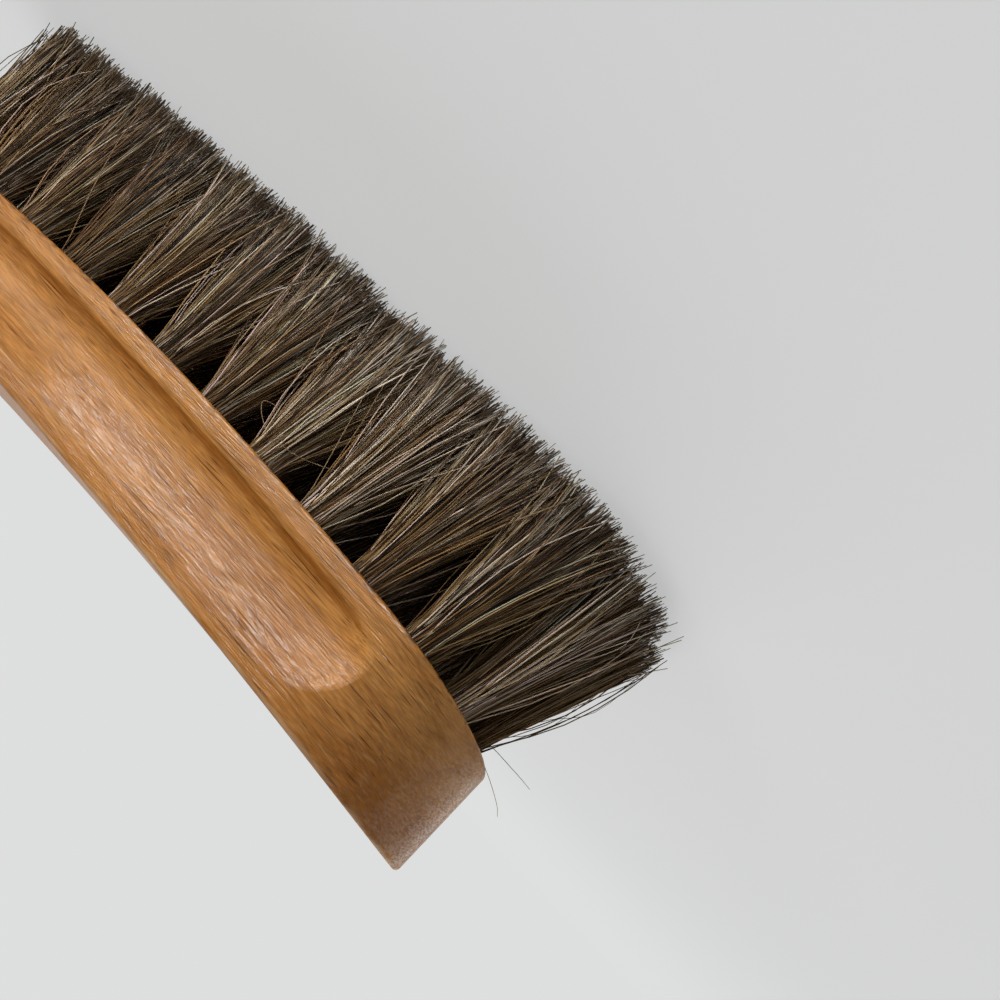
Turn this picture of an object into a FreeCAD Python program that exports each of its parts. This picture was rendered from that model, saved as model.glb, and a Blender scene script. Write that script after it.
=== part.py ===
import FreeCAD, Part
import math
import os

import Sketcher
from FreeCAD import Placement, Rotation, Vector

# Shoe shine brush: a one-piece beech block with a finger cove along each side, and tufts of
# horsehair in blind holes, each held by a flat wire staple in its fold. Millimetres, +Z up.
# The brush stands on its hair: the tips lie at Z = 0, the block is above with its length along
# X, and the origin is under the middle of the block.

# Driving sizes: the name of each, its value and what it is.
SIZES = (
    ("block_length", 160.0, "overall length of the wooden block"),
    ("block_width", 48.0, "width of the block, and the diameter of its round ends"),
    ("block_thickness", 20.0, "thickness of the block at the middle of its length"),
    ("face_crown", 4.0, "rise of the bristle face from its middle to its ends"),
    ("back_hollow", 2.0, "rise of the back from its middle to its ends"),
    ("edge_round", 0.8, "rounding of the block's two outer edges"),
    ("face_band", 3.7, "flat band between the bristle face and the finger cove"),
    ("back_band", 3.3, "flat band between the cove and the back, at the middle of the block"),
    ("cove_drop", 4.2, "height of the cove's deepest line above its lower lip"),
    ("cove_depth", 3.2, "depth of the finger cove"),
    ("cove_past", 6.0, "how far the cove runs on past the block's straight side"),
    ("cove_sweep", 26.0, "radius of the cutter's sweep in which the cove runs out at each end"),
    ("cove_lip_round", 1.2, "rounding of the cove's lip"),
    ("hair_length", 31.5, "free length of the hair at the middle of the block"),
    ("side_reach", 4.0, "how far the tips stand out past the block's sides"),
    ("end_reach", 8.0, "how far the tips stand out past the block's ends"),
    ("ring_inset", 6.5, "distance from the block's side to the outer holes' centres"),
    ("hole_diameter", 5.6, "diameter of the blind holes"),
    ("hole_depth", 9.0, "depth of the blind holes along their axes"),
    ("staple_thickness", 0.4, "thickness of the flat staple wire"),
    ("staple_height", 1.8, "height of a staple along its hole"),
    ("staple_bite", 0.6, "how far each end of a staple goes into the wood"),
    ("fold_height", 1.0, "hair between a staple and the bottom of its hole"),
    ("hair_fit", 0.1, "clearance of a tuft in its hole and round its staple"),
    ("tuft_gap", 0.3, "gap between the tips of neighbouring tufts"),
    ("overrun", 2.0, "how far the cutting shapes run past what they cut"),
)

# Lengths of cove that are cut on each side of the one over the middle.
COVE_SIDE_COUNT = 3

# Tufts along each straight side and round each end of a ring, and in the centre row.
OUTER_COUNTS = (9, 5)
MIDDLE_COUNTS = (8, 2)
CENTRE_COUNT = 8
TIP_ROWS = 5

doc = FreeCAD.newDocument("shoe_shine_brush")
sheet = doc.addObject("Spreadsheet::Sheet", "Sizes")
for row, (alias, value, meaning) in enumerate(SIZES, start=1):
    sheet.set("A%d" % row, meaning)
    sheet.set("B%d" % row, str(value))
    sheet.setAlias("B%d" % row, alias)
doc.recompute()


def measure(formula):
    """The value of a formula in which @name stands for a driving size."""
    return float(sheet.evalExpression(formula.replace("@", "")))


def bind(thing, prop, formula):
    """Binds a property to a formula in which @name stands for a driving size."""
    thing.setExpression(prop, formula.replace("@", "Sizes."))


# The block: an arc over its length bows the face, the back and the coves.
FACE_BOW = "((@block_length / 2)^2 + @face_crown^2) / (2 * @face_crown)"
BACK_BOW = "((@block_length / 2)^2 + @back_hollow^2) / (2 * @back_hollow)"
FACE_AXIS = "@hair_length + " + FACE_BOW
BACK_AXIS = "@hair_length + @block_thickness + " + BACK_BOW
STRAIGHT = "@block_length - @block_width"
CUT_REACH = "@block_length / 2 + @overrun"
BLANK_TOP = "@hair_length + @block_thickness + @back_hollow + @overrun"
COVE_LOW = "@hair_length + @face_band"
COVE_HIGH = "@hair_length + @block_thickness - @back_band"
COVE_FLOOR = "(@block_width / 2 - @cove_depth)"
RUN_OUT = "sqrt(2 * @cove_sweep * @cove_depth - @cove_depth^2)"
RUN_OUT_TURN = "acos(1 - @cove_depth / @cove_sweep)"
COVE_ANGLE = "asin(((%s) / 2 + @cove_past - %s) / (%s))" % (STRAIGHT, RUN_OUT, FACE_BOW)
COVE_STEP = "2 * %s / %d" % (COVE_ANGLE, 2 * COVE_SIDE_COUNT + 1)

START, END, CENTRE = range(1, 4)
ORIGIN = (-1, START)
LEVEL_AXIS, UPRIGHT_AXIS = range(-1, -3, -1)
EDGE_SAMPLES = 9
NEAR_SHARE = 1e-4

half_width = measure("@block_width / 2")
near = half_width * NEAR_SHARE
straight = measure(STRAIGHT)
face_radius = measure(FACE_BOW)
face_axis = measure(FACE_AXIS)
back_radius = measure(BACK_BOW)
back_axis = measure(BACK_AXIS)
body = doc.addObject("PartDesign::Body", "BlockBlank")


def new_sketch(name, role):
    """A sketch of the block on the plane of its own origin that has this role."""
    sketch = body.newObject("Sketcher::SketchObject", name)
    plane = next(p for p in body.Origin.OriginFeatures if p.Role == role)
    sketch.AttachmentSupport = (plane, [""])
    sketch.MapMode = "FlatFace"
    return sketch


def line(sketch, start, end):
    """Adds a straight edge to a sketch and returns its number."""
    return sketch.addGeometry(Part.LineSegment(Vector(*start, 0), Vector(*end, 0)), False)


def arc(sketch, start, through, end):
    """Adds a round edge through three points to a sketch and returns its number."""
    points = [Vector(*point, 0) for point in (start, through, end)]
    return sketch.addGeometry(Part.Arc(*points), False)


def tie(sketch, kind, *where):
    """Adds a constraint that has no measure to a sketch."""
    sketch.addConstraint(Sketcher.Constraint(kind, *where))


def hold(sketch, kind, name, formula, *where):
    """Adds a named measure to a sketch and binds it to its formula."""
    index = sketch.addConstraint(Sketcher.Constraint(kind, *where, measure(formula)))
    sketch.renameConstraint(index, name)
    bind(sketch, "Constraints." + name, formula)


def close_loop(sketch, edges):
    """Joins edges, each drawn from its start to its end, into one closed loop."""
    for edge, following in zip(edges, edges[1:] + edges[:1]):
        ends = [(n, p) for n in (edge, following) for p in (START, END)]
        pairs = [(a, b) for a in ends[:2] for b in ends[2:]]
        meet = min(pairs, key=lambda ab: (sketch.getPoint(*ab[0]) - sketch.getPoint(*ab[1])).Length)
        tie(sketch, "Coincident", *meet[0], *meet[1])


def draw_plan(sketch):
    """The block's plan: two straight sides and two round ends."""
    reach = straight / 2
    low = line(sketch, (-reach, -half_width), (reach, -half_width))
    right = arc(sketch, (reach, -half_width), (reach + half_width, 0), (reach, half_width))
    high = line(sketch, (reach, half_width), (-reach, half_width))
    left = arc(sketch, (-reach, half_width), (-reach - half_width, 0), (-reach, -half_width))
    close_loop(sketch, [low, right, high, left])
    for edge, name in ((right, "right"), (left, "left")):
        tie(sketch, "PointOnObject", edge, CENTRE, LEVEL_AXIS)
        hold(sketch, "Radius", name + "_radius", "@block_width / 2", edge)
    middle = "(%s) / 2" % STRAIGHT
    hold(sketch, "DistanceX", "right_middle", middle, *ORIGIN, right, CENTRE)
    hold(sketch, "DistanceX", "left_middle", middle, left, CENTRE, *ORIGIN)
    hold(sketch, "DistanceX", "right_corner", middle, *ORIGIN, low, END)
    hold(sketch, "DistanceX", "left_corner", middle, low, START, *ORIGIN)
    hold(sketch, "DistanceX", "right_far_corner", middle, *ORIGIN, high, START)
    hold(sketch, "DistanceX", "left_far_corner", middle, high, END, *ORIGIN)


def draw_bow(sketch, name, axis, radius, closing):
    """A region between a bowed arc over the whole length and a level line."""
    reach = measure(CUT_REACH)
    bow_axis = measure(axis)
    bow = measure(radius)
    level = measure(closing)
    side = bow_axis - math.sqrt(bow ** 2 - reach ** 2)
    curve = arc(sketch, (-reach, side), (0, bow_axis - bow), (reach, side))
    right = line(sketch, (reach, side), (reach, level))
    flat = line(sketch, (reach, level), (-reach, level))
    left = line(sketch, (-reach, level), (-reach, side))
    close_loop(sketch, [curve, right, flat, left])
    tie(sketch, "Vertical", right)
    tie(sketch, "Vertical", left)
    tie(sketch, "Horizontal", flat)
    hold(sketch, "Radius", name + "_radius", radius, curve)
    hold(sketch, "DistanceY", name + "_axis", axis, *ORIGIN, curve, CENTRE)
    hold(sketch, "DistanceX", name + "_right", CUT_REACH, *ORIGIN, right, END)
    hold(sketch, "DistanceX", name + "_left", CUT_REACH, left, START, *ORIGIN)
    tie(sketch, "PointOnObject", curve, CENTRE, UPRIGHT_AXIS)
    return flat


def draw_cove(sketch, name, side):
    """One cove's section: a tight arc up from its lower lip, a wide arc out to the upper one."""
    low = measure(COVE_LOW)
    deep = low + measure("@cove_drop")
    high = measure(COVE_HIGH)
    wall = side * half_width
    floor = side * measure(COVE_FLOOR)
    outside = side * measure("@block_width / 2 + @overrun")

    def through(lip):
        """The middle of the arc from the floor, where it runs upright, to a lip."""
        rise, depth = lip - deep, abs(wall - floor)
        radius = (rise ** 2 + depth ** 2) / (2 * depth)
        half_turn = math.atan2(depth, abs(rise))
        out = side * radius * (1 - math.cos(half_turn))
        return floor + out, deep + math.copysign(radius * math.sin(half_turn), rise)

    tight = arc(sketch, (wall, low), through(low), (floor, deep))
    wide = arc(sketch, (floor, deep), through(high), (wall, high))
    top = line(sketch, (wall, high), (outside, high))
    front = line(sketch, (outside, high), (outside, low))
    bottom = line(sketch, (outside, low), (wall, low))
    close_loop(sketch, [tight, wide, top, front, bottom])
    for edge in (top, bottom):
        tie(sketch, "Horizontal", edge)
    tie(sketch, "Vertical", front)

    def across(label, formula, edge, end):
        """Holds a point's distance from the block's middle plane."""
        where = (*ORIGIN, edge, end) if side > 0 else (edge, end, *ORIGIN)
        hold(sketch, "DistanceX", name + label, formula, *where)

    across("_low_lip", "@block_width / 2", bottom, END)
    across("_high_lip", "@block_width / 2", top, START)
    across("_outside", "@block_width / 2 + @overrun", front, START)
    deepest = nearest_end(sketch, wide, floor, deep)
    across("_floor", COVE_FLOOR, wide, deepest)
    hold(sketch, "DistanceY", name + "_low", COVE_LOW, *ORIGIN, bottom, END)
    hold(sketch, "DistanceY", name + "_deep", COVE_LOW + " + @cove_drop", *ORIGIN, wide, deepest)
    hold(sketch, "DistanceY", name + "_high", COVE_HIGH, *ORIGIN, top, START)
    for edge in (tight, wide):
        tie(sketch, "Horizontal", edge, CENTRE, wide, deepest)


def nearest_end(sketch, edge, x, y):
    """Which end of a sketch's edge lies at this point."""
    return min((START, END), key=lambda end: (sketch.getPoint(edge, end) - Vector(x, y, 0)).Length)


def wall_depth(point):
    """How far a point lies inside the block's upright outer wall."""
    past_straight = max(0, abs(point.x) - straight / 2)
    return half_width - math.hypot(past_straight, point.y)


def edge_names(shape, test):
    """The names of a shape's edges whose sampled points pass a test."""
    numbered = enumerate(shape.Edges, start=1)
    return ["Edge%d" % n for n, edge in numbered if test(edge.discretize(EDGE_SAMPLES))]


def round_edges(name, base, radius, test):
    """Rounds the edges of a feature that pass a test."""
    fillet = body.newObject("PartDesign::Fillet", name)
    fillet.Base = (base, edge_names(base.Shape, test))
    bind(fillet, "Radius", radius)
    doc.recompute()
    return fillet


plan = new_sketch("BlockPlan", "XY_Plane")
draw_plan(plan)
blank = body.newObject("PartDesign::Pad", "Blank")
blank.Profile = plan
bind(blank, "Length", BLANK_TOP)
doc.recompute()

profile = new_sketch("BlockProfile", "XZ_Plane")
below = draw_bow(profile, "face", FACE_AXIS, FACE_BOW, "-@overrun")
above = draw_bow(profile, "back", BACK_AXIS, BACK_BOW, BLANK_TOP + " + @overrun")
hold(profile, "DistanceY", "below", "@overrun", below, END, *ORIGIN)
hold(profile, "DistanceY", "above", BLANK_TOP + " + @overrun", *ORIGIN, above, END)
bowed = body.newObject("PartDesign::Pocket", "Bowed")
bowed.Profile = profile
bowed.Type = "ThroughAll"
bowed.Midplane = True
doc.recompute()


def on_rim(points):
    """Whether an edge runs along the rim of the bristle face or of the back."""
    heights = [point.z for point in points]
    return max(heights) - min(heights) < measure("@block_thickness / 2")


eased = round_edges("Eased", bowed, "@edge_round", on_rim)

coves = new_sketch("CoveSections", "YZ_Plane")
draw_cove(coves, "front", -1)
draw_cove(coves, "back", 1)
centre_line = line(coves, (-half_width, face_axis), (half_width, face_axis))
coves.toggleConstruction(centre_line)
tie(coves, "Horizontal", centre_line)
hold(coves, "DistanceY", "cove_axis", FACE_AXIS, *ORIGIN, centre_line, START)
hold(coves, "DistanceX", "axis_left", "@block_width / 2", centre_line, START, *ORIGIN)
hold(coves, "DistanceX", "axis_right", "@block_width / 2", *ORIGIN, centre_line, END)
middle_cut = body.newObject("PartDesign::Groove", "CovedMiddle")
middle_cut.Profile = coves
middle_cut.ReferenceAxis = (coves, ["Axis0"])
middle_cut.Midplane = True
middle_cut.Refine = False
bind(middle_cut, "Angle", COVE_STEP)
doc.recompute()
for name, other_way in (("CovedOneWay", False), ("CovedBothWays", True)):
    coved = body.newObject("PartDesign::PolarPattern", name)
    coved.Originals = [middle_cut]
    coved.Axis = (coves, ["Axis0"])
    coved.Reversed = other_way
    coved.Occurrences = COVE_SIDE_COUNT + 1
    coved.Refine = False
    bind(coved, "Angle", "%d * %s" % (COVE_SIDE_COUNT, COVE_STEP))
    body.Tip = coved
    doc.recompute()


def run_out(name, side, way):
    """Runs a cove out of the block at one end, swept round an upright axis outside the block."""
    section = new_sketch("CoveEnd" + name, "YZ_Plane")
    draw_cove(section, name, side)
    axis = side * measure(COVE_FLOOR + " + @cove_sweep")
    upright = line(section, (axis, measure(COVE_LOW)), (axis, measure(COVE_HIGH)))
    section.toggleConstruction(upright)
    tie(section, "Vertical", upright)
    where = (*ORIGIN, upright, START) if side > 0 else (upright, START, *ORIGIN)
    hold(section, "DistanceX", name + "_sweep", COVE_FLOOR + " + @cove_sweep", *where)
    hold(section, "DistanceY", name + "_sweep_low", COVE_LOW, *ORIGIN, upright, START)
    hold(section, "DistanceY", name + "_sweep_high", COVE_HIGH, *ORIGIN, upright, END)
    section.AttachmentOffset = Placement(Vector(), Rotation(Vector(1, 0, 0), -way * measure(COVE_ANGLE)))
    bind(section, "AttachmentOffset.Base.y", "(%s) * (1 - cos(%s))" % (FACE_AXIS, COVE_ANGLE))
    bind(section, "AttachmentOffset.Base.z", "%d * (%s) * sin(%s)" % (way, FACE_AXIS, COVE_ANGLE))
    bind(section, "AttachmentOffset.Rotation.Angle", "%d * %s" % (-way, COVE_ANGLE))
    doc.recompute()
    swept = body.newObject("PartDesign::Groove", "RunOut" + name)
    swept.Profile = section
    swept.ReferenceAxis = (section, ["Axis0"])
    swept.Reversed = side * way < 0
    swept.Refine = False
    bind(swept, "Angle", "2 * " + RUN_OUT_TURN)
    doc.recompute()
    return swept


SIDES = (("Front", -1), ("Back", 1))
WAYS = (("Left", -1), ("Right", 1))
run_outs = [run_out(side_name + way_name, side, way)
            for side_name, side in SIDES for way_name, way in WAYS]


def on_cove_lip(points):
    """Whether an edge runs along a cove's lip on the block's outer wall."""
    above_face = [p.z - face_axis + math.sqrt(face_radius ** 2 - p.x ** 2) for p in points]
    under_back = [back_axis - math.sqrt(back_radius ** 2 - p.x ** 2) - p.z for p in points]
    clear_of_face = min(above_face) > measure("@face_band / 2")
    clear_of_back = min(under_back) > measure("(@edge_round + @back_band) / 2")
    on_wall = all(wall_depth(point) < near for point in points)
    upright = math.hypot(points[0].x - points[-1].x, points[0].y - points[-1].y) < near
    return on_wall and clear_of_face and clear_of_back and not upright


lipped = round_edges("Lipped", run_outs[-1], "@cove_lip_round", on_cove_lip)
doc.recompute()

# The hair: each ring runs from the middle of the holes to the middle of its row of tips.
ROOT_RING = "(@block_width / 2 - @ring_inset)"
TIP_RUN = "(@block_length + 2 * @end_reach - @block_width - 2 * @side_reach)"
TIP_ROW = "((@block_width + 2 * @side_reach) / %d)" % TIP_ROWS
OUTER_TIPS = "(2 * %s)" % TIP_ROW
FOLD_DEPTH = "@hole_depth - @hair_fit"
HOLE_RADIUS = "@hole_diameter / 2"
HAIR_RADIUS = "@hole_diameter / 2 - @hair_fit"
STAPLE_LENGTH = "@hole_diameter + 2 * @staple_bite"
STAPLE_DEPTH = "@hole_depth - @fold_height - @staple_height"
HALF_GAP = "@tuft_gap / 2"


def ring_places(counts, run, radius):
    """Places on a ring with two straight runs and two round ends.

    Each is its x, its y, the heading of the ring there and half of the tuft's share of it.
    """
    side_count, end_count = counts
    length, bend = measure(run), measure(radius)
    side_share = "%s / %d" % (run, 2 * side_count)
    end_share = "pi * %s / %d" % (radius, 2 * end_count)
    places = []
    for turn, way in ((0, 1), (math.pi, -1)):
        for number in range(side_count):
            along = way * length * (2 * number + 1 - side_count) / (2 * side_count)
            places.append((along, -way * bend, turn, side_share))
        for number in range(end_count):
            angle = math.pi * (2 * number + 1) / (2 * end_count)
            along = way * (length / 2 + bend * math.sin(angle))
            places.append((along, -way * bend * math.cos(angle), turn + angle, end_share))
    return places


def row_places(count, run):
    """Places along the block's centre line, as ring_places gives them."""
    length = measure(run)
    share = "%s / %d" % (run, 2 * count)
    return [(length * (2 * number + 1 - count) / (2 * count), 0, 0, share) for number in range(count)]


def make(kind, name, place, **formulas):
    """A primitive at its place, with its sizes bound to formulas."""
    thing = doc.addObject("Part::" + kind, name)
    for prop, formula in formulas.items():
        bind(thing, prop, formula)
    thing.Placement = place
    return thing


def combine(kind, name, base, tool):
    """One shape cut from or fused to another."""
    thing = doc.addObject("Part::" + kind, name)
    thing.Base, thing.Tool = base, tool
    return thing


def plant(name, root, tip):
    """Makes one tuft, its staple, and the hole that both are set in.

    The hole runs up into the wood along the line from the tuft's tip through its root. The tuft
    fills it, leaves the bristle face and widens to an oval at the tips.
    """
    height = face_axis - math.sqrt(face_radius ** 2 - root[0] ** 2)
    mouth = Vector(root[0], root[1], height)
    foot = Vector(tip[0], tip[1], 0)
    up = (mouth - foot).normalize()
    heading = Vector(math.cos(tip[2]), math.sin(tip[2]), 0)
    turned = Rotation(heading, Vector(), up, "ZXY")

    def at(formula, across="0", through="0"):
        """A place this deep in the hole, off its axis along and across the ring."""
        offset = Vector(-measure(across) / 2, -measure(through) / 2, measure(formula))
        return Placement(mouth + turned.multVec(offset), turned)

    fold = make("Circle", name + "_fold", at(FOLD_DEPTH), Radius=HAIR_RADIUS)
    neck = make("Circle", name + "_neck", at("0"), Radius=HAIR_RADIUS)
    wide = "%s - %s" % (tip[3], HALF_GAP)
    narrow = "min(%s - %s; %s / 2 - %s)" % (tip[3], HALF_GAP, TIP_ROW, HALF_GAP)
    level = Placement(foot, Rotation(heading, Vector(), Vector(0, 0, 1), "ZXY"))
    ends = make("Ellipse", name + "_tips", level, MajorRadius=wide, MinorRadius=narrow)
    hair = doc.addObject("Part::Loft", name + "_hair")
    hair.Sections = [fold, neck, ends]
    hair.Solid = True
    hair.Ruled = True

    slot_width = "@staple_thickness + 2 * @hair_fit"
    slot_place = at(STAPLE_DEPTH + " - @hair_fit", "@hole_diameter", slot_width)
    slot_height = "@staple_height + 2 * @hair_fit"
    slot = make("Box", name + "_slot", slot_place, Length="@hole_diameter", Width=slot_width,
                Height=slot_height)
    tuft = combine("Cut", name, hair, slot)

    staple_place = at(STAPLE_DEPTH, STAPLE_LENGTH, "@staple_thickness")
    staple = make("Box", name + "_staple", staple_place, Length=STAPLE_LENGTH,
                  Width="@staple_thickness", Height="@staple_height")
    drill = make("Cylinder", name + "_drill", at("-@overrun"), Radius=HOLE_RADIUS,
                 Height="@hole_depth + @overrun")
    return tuft, staple, combine("Fuse", name + "_socket", drill, staple)


def plant_row(name, roots, tips):
    """Plants a row of tufts and returns its tufts, staples and sockets."""
    planted = [plant("tuft_%s_%02d" % (name, number), root, tip)
               for number, (root, tip) in enumerate(zip(roots, tips), start=1)]
    return [list(column) for column in zip(*planted)]


def group(name, members):
    """A group of separate solids."""
    thing = doc.addObject("Part::Compound", name)
    thing.Links = members
    return thing


outer = plant_row("outer", ring_places(OUTER_COUNTS, "(%s)" % STRAIGHT, ROOT_RING),
                  ring_places(OUTER_COUNTS, TIP_RUN, OUTER_TIPS))
middle = plant_row("middle", ring_places(MIDDLE_COUNTS, "(%s)" % STRAIGHT, "(%s / 2)" % ROOT_RING),
                   ring_places(MIDDLE_COUNTS, TIP_RUN, TIP_ROW))
centre = plant_row("centre", row_places(CENTRE_COUNT, "(%s)" % STRAIGHT),
                   row_places(CENTRE_COUNT, TIP_RUN))
TUFTS, STAPLES, SOCKETS = range(3)
sockets = group("sockets", outer[SOCKETS] + middle[SOCKETS] + centre[SOCKETS])
block = combine("Cut", "block", body, sockets)
staples_outer = group("staples_outer", outer[STAPLES])
staples_inner = group("staples_inner", middle[STAPLES] + centre[STAPLES])
doc.recompute()

nodes = [block, staples_outer, staples_inner] + outer[TUFTS] + middle[TUFTS] + centre[TUFTS]
for thing in doc.Objects:
    if "Invalid" in thing.State or "Error" in thing.State:
        raise RuntimeError("%s did not build" % thing.Label)
steps = [blank, bowed, eased, middle_cut, coved] + run_outs + [block]
for before, after in zip(steps, steps[1:]):
    if after.Shape.Volume >= before.Shape.Volume:
        raise RuntimeError("a cut in the block removed nothing")
for node in nodes:
    if node.Shape.isNull() or not node.Shape.isValid():
        raise RuntimeError("%s has no valid shape" % node.Label)

os.makedirs("parts", exist_ok=True)
for node in nodes:
    node.Shape.exportStep("parts/%s.step" % node.Label)
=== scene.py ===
import logging
import math
from dataclasses import dataclass, field
from enum import Enum
from typing import Iterator

import bpy
import numpy as np
from mathutils import Matrix, Vector


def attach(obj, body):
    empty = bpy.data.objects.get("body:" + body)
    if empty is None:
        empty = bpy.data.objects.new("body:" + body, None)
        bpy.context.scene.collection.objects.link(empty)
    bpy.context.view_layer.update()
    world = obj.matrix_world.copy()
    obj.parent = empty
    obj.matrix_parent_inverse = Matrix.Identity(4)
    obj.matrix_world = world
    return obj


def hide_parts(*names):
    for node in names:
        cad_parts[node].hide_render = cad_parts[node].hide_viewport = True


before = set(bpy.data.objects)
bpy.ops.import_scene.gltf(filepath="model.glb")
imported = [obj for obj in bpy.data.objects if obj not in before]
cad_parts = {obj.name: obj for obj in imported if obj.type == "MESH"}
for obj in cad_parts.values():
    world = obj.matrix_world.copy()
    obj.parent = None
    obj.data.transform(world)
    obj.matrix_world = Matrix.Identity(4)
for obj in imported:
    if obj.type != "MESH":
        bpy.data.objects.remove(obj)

logging.basicConfig(level=logging.INFO, format="%(name)s: %(message)s")
LOG = logging.getLogger("shoe_brush")

MM = 0.001
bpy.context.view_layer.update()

Colour = tuple[float, float, float]
Point = tuple[float, float, float]
Span = tuple[float, float]
Material = bpy.types.Material
Node = bpy.types.Node
Socket = bpy.types.NodeSocket

FULL: Span = (0.0, 1.0)


class HairTone(Enum):
    """The natural colours of the mixed horsehair, as linear colour and share of the mix."""

    CREAM = ((0.62, 0.518, 0.395), 0.15)
    STRAW = ((0.38, 0.266, 0.142), 0.20)
    KHAKI = ((0.235, 0.138, 0.055), 0.25)
    BROWN = ((0.124, 0.064, 0.022), 0.20)
    DARK = ((0.042, 0.022, 0.008), 0.14)
    BLACK = ((0.013, 0.009, 0.006), 0.06)

    @property
    def colour(self) -> Colour:
        """The tone's linear colour."""
        return self.value[0]

    @property
    def share(self) -> float:
        """How much of the mix has this tone."""
        return self.value[1]


class TuftRow(Enum):
    """The rows that the tufts stand in, named as their solids are."""

    OUTER = "outer"
    MIDDLE = "middle"
    CENTRE = "centre"


class LampUse(Enum):
    """What a lamp is for: all of a surface, its matt light only, or its gloss only."""

    BOTH = "both"
    MATT = "matt"
    GLOSS = "gloss"


@dataclass(frozen=True)
class BlockSize:
    """The block's sizes that its finish and the hair follow, with its face's height over the ground."""

    length: float = 160.0 * MM
    width: float = 48.0 * MM
    thickness: float = 20.0 * MM
    face_height: float = 31.5 * MM
    face_crown: float = 4.0 * MM
    back_hollow: float = 2.0 * MM

    @property
    def back_height(self) -> float:
        """The back's height over the ground at the middle."""
        return self.face_height + self.thickness

    def bow(self, rise: float) -> float:
        """The radius of a bow that rises this far from the block's middle to its ends."""
        return ((self.length / 2) ** 2 + rise**2) / (2 * rise)


@dataclass(frozen=True)
class Streaks:
    """A pattern of drawn-out streaks: its repeats in a metre along each axis, and what noise shows."""

    stretch: Point
    shows: Span


@dataclass(frozen=True)
class Rays:
    """Thin dark rays of one length: their cells in a metre along each axis, and their reach in a cell.

    Each cell draws a number, and its ray shows where the number is over the kept one.
    """

    stretch: Point
    reach: float
    kept: float
    core: float = 0.45
    fade: float = 0.20
    strength: float = 0.95


class NodeBench:
    """Adds and joins the nodes of one node tree.

    A Mix node's sockets go by number, because its kinds of value share their names.
    """

    MIX_INPUTS = (0, 6, 7)
    MIX_OUTPUT = 2

    def __init__(self, tree: bpy.types.NodeTree) -> None:
        """Starts on a tree, and removes what it holds.

        Args:
            tree: the tree to work in.
        """
        self.tree = tree
        tree.nodes.clear()

    def add(self, kind: str, settings: dict[str, object] | None = None, **inputs: object) -> Node:
        """Adds a node.

        Args:
            kind: the node's type, without its Shader prefix where it has one.
            settings: the node's own options by name.
            inputs: values or sockets for its inputs, with underscores for spaces.

        Returns:
            The new node.
        """
        node = self.tree.nodes.new(kind if kind.startswith("Node") else "ShaderNode" + kind)
        for name, value in (settings or {}).items():
            setattr(node, name, value)
        for name, value in inputs.items():
            self.feed(node, name.replace("_", " "), value)
        return node

    def feed(self, node: Node, name: str | int, value: object) -> None:
        """Gives an input a value, or joins a socket to it.

        Args:
            node: the node that has the input.
            name: the input's name or number.
            value: a socket to join, or a plain value.
        """
        if isinstance(value, Socket):
            self.tree.links.new(value, node.inputs[name])
        else:
            node.inputs[name].default_value = value

    def math(self, operation: str, *values: object, clamp: bool = False) -> Socket:
        """Adds a Math node.

        Args:
            operation: the sum to do.
            values: its numbers or sockets in order.
            clamp: whether the result stays from 0 to 1.

        Returns:
            The result's socket.
        """
        node = self.add("Math", {"operation": operation, "use_clamp": clamp})
        for number, value in enumerate(values):
            self.feed(node, number, value)
        return node.outputs[0]

    def span(self, value: Socket, given: tuple[object, object], to: Span = FULL) -> Socket:
        """Spreads a range of a value over another one, held at its ends.

        Args:
            value: the value to spread.
            given: the two ends of its range.
            to: what they become.

        Returns:
            The result's socket.
        """
        node = self.add("MapRange", {"clamp": True}, Value=value)
        for name, end in zip(("From Min", "From Max", "To Min", "To Max"), (*given, *to)):
            self.feed(node, name, end)
        return node.outputs["Result"]

    def mix(self, factor: object, first: object, second: object, blend: str = "MIX") -> Socket:
        """Mixes two colours.

        Args:
            factor: how much of the second one shows.
            first: a colour or a socket.
            second: a colour or a socket.
            blend: the way they are mixed.

        Returns:
            The mixed colour's socket.
        """
        node = self.add("Mix", {"data_type": "RGBA", "blend_type": blend, "clamp_factor": True})
        for number, value in zip(self.MIX_INPUTS, (factor, first, second)):
            if isinstance(value, tuple):
                value = (*value, 1.0)
            self.feed(node, number, value)
        return node.outputs[self.MIX_OUTPUT]

    def streaks(self, place: Socket, pattern: Streaks) -> Socket:
        """Adds the shared streak pattern with its own stretch and spread.

        Args:
            place: the coordinates that it lies in.
            pattern: its stretch and spread.

        Returns:
            A mask from 0 to 1.
        """
        low, high = pattern.shows
        settings = {"node_tree": streak_pattern()}
        group = self.add("Group", settings, Place=place, Stretch=pattern.stretch, Low=low, High=high)
        return group.outputs["Mask"]


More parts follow.
